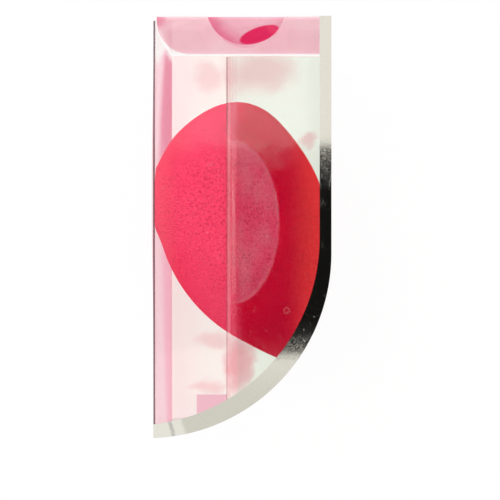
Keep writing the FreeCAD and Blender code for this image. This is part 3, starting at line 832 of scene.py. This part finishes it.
def foam_finish():
    material, tree, place_mm = start_finish("foam")
    xyz = split(tree, place_mm)
    rose = ramp(tree, xyz[0], lap_low.x, lap_low.x + ROSE_FADE, 1.0, 0.0)
    pressed = oval(tree, xyz, CONTACT_CENTRE, CONTACT_HALF_SIZES, soft_from=0.96, soft_to=1.03)
    # painted crimson shade behind the lap, where the foam curves away, deeper towards the tip
    painted_shade = mix_colours(tree, ramp(tree, xyz[1], *DEEPER_SHADE_Y), FOAM_SHADED_CRIMSON, FOAM_DEEPER_SHADE)
    colour = mix_colours(tree, sums(tree, "MAXIMUM", rose, pressed), painted_shade, FOAM_ROSE)
    # painted warm light where light comes in through the front wall
    colour = mix_colours(tree, ramp(tree, xyz[0], *PAINTED_WARM_LIGHT_X), colour, FOAM_PAINTED_WARM_LIGHT)
    # painted highlights in soft clouds and on fine cells
    lit_clouds = clouds(tree, place_mm, LIT_CLOUDS, 0.0, LIT_CLOUD_SHARE, edges=LIT_CLOUD_EDGES)
    colour = mix_colours(tree, lit_clouds, colour, LIT_CELL)
    cells = noise(tree, place_mm, CELL_SIZE)
    colour = mix_colours(tree, ramp(tree, cells, *LIT_CELL_EDGES, 0.0, LIT_CELL_SHARE), colour, LIT_CELL)
    # painted dark shade in the pores between the cells
    colour = mix_colours(tree, ramp(tree, cells, *PORE_SHADE_EDGES, 0.0, PORE_SHADE_SHARE), colour, PORE_PAINTED_SHADE)
    bump = add_node(tree, "Bump", {"Height": cells, **FOAM_BUMP})
    end_finish(tree, add_node(tree, "BsdfPrincipled", {
        "Base Color": colour, "Roughness": FOAM_ROUGHNESS, "Specular IOR Level": 0.0,
        "Normal": bump.outputs[0]}))
    return material


foam.data.materials.clear()
foam.data.materials.append(foam_finish())
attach(foam, "sponge")
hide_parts("sponge")

# %% [markdown]
# ## Floor, light and the two cards
#
# The case lies on a white floor in soft, even light. A mirror needs something to mirror: here that is the
# bright room and two cards beside the lens, which only mirror images see. The black one makes the black
# stretch of the foil and takes the glare off the middle of the near wall. It turns grey towards its two
# ends, so that the black stretch ends softly. The bright one above it lays a pale sheen over the lid's end.

# %% Floor and surroundings
FLOOR_SIZE = 3.0
FLOOR_GAP = 0.05 * MM
FLOOR_GLOW = 0.94
FLOOR_PAPER = (0.9, 0.9, 0.9, 1.0)
WHITE = (1.0, 1.0, 1.0, 1.0)
ROOM_COLOUR = (1.0, 0.99, 0.97, 1.0)
ROOM_LIGHT = 1.0


def seen_directly(tree):
    """1 for rays that show the background: from the camera, off a mirror or through glass."""
    path = add_node(tree, "LightPath").outputs
    mirrored = sums(tree, "MAXIMUM", path["Is Glossy Ray"], path["Is Transmission Ray"])
    return sums(tree, "MAXIMUM", path["Is Camera Ray"], mirrored)


def make_floor():
    bpy.ops.object.select_all(action="DESELECT")
    bpy.ops.mesh.primitive_plane_add(size=FLOOR_SIZE, location=(0.0, 0.0, -FLOOR_GAP))
    floor = bpy.context.active_object
    floor.name = "floor"
    material, tree = start_finish("white_floor")[0:2]
    paper = add_node(tree, "BsdfDiffuse", {"Color": FLOOR_PAPER})
    glow = add_node(tree, "Emission", {"Color": WHITE, "Strength": 1.0})
    share = sums(tree, "MULTIPLY", seen_directly(tree), FLOOR_GLOW)
    end_finish(tree, add_node(tree, "MixShader", {0: share, 1: paper.outputs[0], 2: glow.outputs[0]}))
    floor.data.materials.append(material)


def make_room():
    world = bpy.data.worlds.new("white_room")
    world.use_nodes = True
    tree = world.node_tree
    tree.nodes.clear()
    sky = add_node(tree, "Background", {"Color": ROOM_COLOUR, "Strength": ROOM_LIGHT})
    output = add_node(tree, "OutputWorld")
    tree.links.new(sky.outputs[0], output.inputs["Surface"])
    bpy.context.scene.world = world


make_floor()
make_room()

# %% Camera and lamp
PIXELS = 500
NEAR_PLANE_SCALE = 4.22
SENSOR = 36.0
CAMERA_PLACE = (11.9 * MM, -16.2 * MM, 307.7 * MM)
AXIS_PIXEL = (288.4, 295.4)
LAMP_PLACE = Vector((-0.35, 0.3, 0.6))
LAMP_SIZE = 0.35
LAMP_POWER = 2.0


def make_camera():
    data = bpy.data.cameras.new("camera")
    camera = bpy.data.objects.new("camera", data)
    bpy.context.scene.collection.objects.link(camera)
    camera.location = CAMERA_PLACE
    distance_mm = CAMERA_PLACE[2] / MM - wall_high.z
    data.sensor_width = SENSOR
    data.lens = NEAR_PLANE_SCALE * distance_mm * SENSOR / PIXELS
    data.shift_x = 0.5 - AXIS_PIXEL[0] / PIXELS
    data.shift_y = AXIS_PIXEL[1] / PIXELS - 0.5
    bpy.context.scene.camera = camera
    print("camera lens in mm:", round(data.lens, 1), "shift", round(data.shift_x, 3), round(data.shift_y, 3))


def make_lamp():
    data = bpy.data.lights.new("key_lamp", "AREA")
    data.size = LAMP_SIZE
    data.energy = LAMP_POWER
    lamp = bpy.data.objects.new("key_lamp", data)
    bpy.context.scene.collection.objects.link(lamp)
    lamp.location = LAMP_PLACE
    lamp.rotation_euler = (-LAMP_PLACE).to_track_quat("-Z", "Y").to_euler()


make_camera()
make_lamp()

# %% The cards beside the lens
CARD_HEIGHT = 320 * MM
BLACK_CARD_X = (-150 * MM, 100 * MM)
BLACK_CARD_Y = (-44.5 * MM, 56 * MM)
BLACK_CARD_FADE = 20.0
CARD_BLACK = 0.008
CARD_GREY = 0.04
BRIGHT_CARD_X = (-150 * MM, 22 * MM)
BRIGHT_CARD_Y = (57 * MM, 170 * MM)
BRIGHT_CARD_GLOW = 1.8


def make_card(name, span_x, span_y):
    """A flat card at the height of the lens that only mirror images see."""
    bpy.ops.object.select_all(action="DESELECT")
    bpy.ops.mesh.primitive_plane_add(size=1.0)
    card = bpy.context.active_object
    card.name = name
    card.scale = (span_x[1] - span_x[0], span_y[1] - span_y[0], 1.0)
    card.location = (sum(span_x) / 2, sum(span_y) / 2, CARD_HEIGHT)
    bpy.ops.object.transform_apply(location=True, rotation=True, scale=True)
    card.visible_camera = False
    card.visible_diffuse = False
    card.visible_transmission = False
    card.visible_volume_scatter = False
    card.visible_shadow = False
    return card


def glow_on(card, tree, material, strength):
    """Gives a card its own even or graded light."""
    end_finish(tree, add_node(tree, "Emission", {"Strength": strength}))
    card.data.materials.append(material)


def make_cards():
    material, tree, place_mm = start_finish("black_paper")
    y = split(tree, place_mm)[1]
    low_end = BLACK_CARD_Y[0] / MM + BLACK_CARD_FADE
    high_end = BLACK_CARD_Y[1] / MM - BLACK_CARD_FADE
    middle = within(tree, y, low_end, high_end, BLACK_CARD_FADE)
    grey = ramp(tree, middle, 0.0, 1.0, CARD_GREY, CARD_BLACK)
    glow_on(make_card("black_card", BLACK_CARD_X, BLACK_CARD_Y), tree, material, grey)
    material, tree = start_finish("bright_paper")[0:2]
    glow_on(make_card("bright_card", BRIGHT_CARD_X, BRIGHT_CARD_Y), tree, material, BRIGHT_CARD_GLOW)


make_cards()

# %% [markdown]
# ## Render settings
#
# Many thin sheets lie behind one another, so rays may pass more of them than usual.

# %% Ray limits and view
SHEET_LAYERS = 32
scene = bpy.context.scene
scene.cycles.transparent_max_bounces = SHEET_LAYERS
scene.view_settings.view_transform = "Standard"
